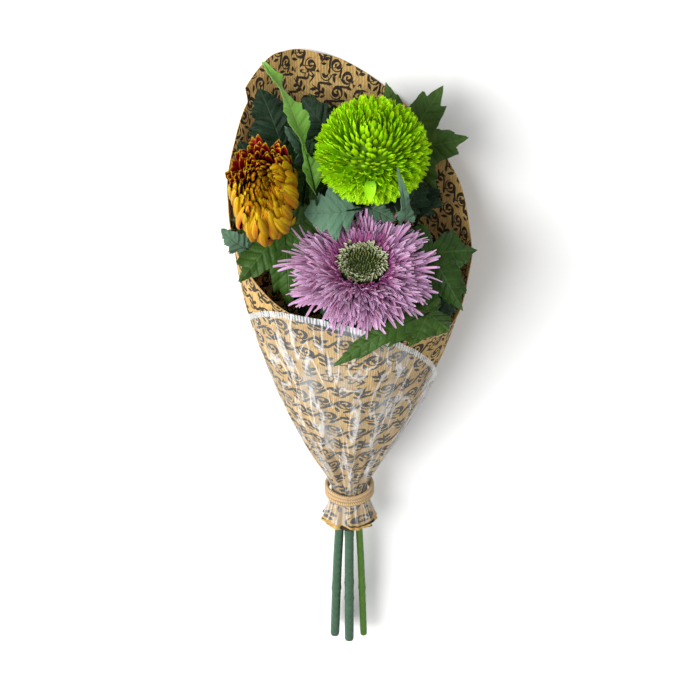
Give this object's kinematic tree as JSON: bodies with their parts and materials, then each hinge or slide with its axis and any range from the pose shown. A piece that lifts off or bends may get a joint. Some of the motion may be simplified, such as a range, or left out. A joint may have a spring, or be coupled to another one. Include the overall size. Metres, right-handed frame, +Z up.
{
  "type": "mixed flower bouquet",
  "caption": "Paper-wrapped bouquet lying on its back: green, bronze and lilac chrysanthemum blooms with toothed and lobed leaves, a clear film sleeve, a tied neck and cut stems.",
  "frame": {"origin": "middle of the bouquet's underside, on the surface that it lies on", "axes": "+Y along the stems towards the blooms, +Z up and out of the side that the blooms are shown on, +X to the right as seen from above with the blooms at the top"},
  "size_m": [0.1618, 0.4806, 0.1624],
  "materials": {
    "kraft_paper": "matt ribbed brown kraft with black ornament",
    "clear_film": "clear wrinkled gloss film",
    "elastic_tie": "matt tan elastic",
    "mum_leaf": "matt dark grey-green leaf",
    "maple_leaf": "satin fresh green leaf",
    "green_petal": "soft yellow-green petal",
    "bronze_petal": "golden petal with red streaks and red inner face",
    "lilac_petal": "soft lilac petal",
    "green_floret": "green florets with pale tips"
  },
  "bodies": {
    "root": {"kraft_wrap": "kraft_paper", "film_sleeve": "clear_film", "neck_tie": "elastic_tie", "green_mum_stem": "mum_leaf", "green_mum_bloom": "green_petal", "bronze_mum_stem": "mum_leaf", "bronze_mum_bloom": "bronze_petal", "lilac_mum_stem": "mum_leaf", "lilac_mum_rays": "lilac_petal", "lilac_mum_disc": "green_floret", "maple_sprig_right": "maple_leaf", "maple_sprig_left": "maple_leaf", "maple_sprig_back": "maple_leaf"}
  },
  "joints": []
}
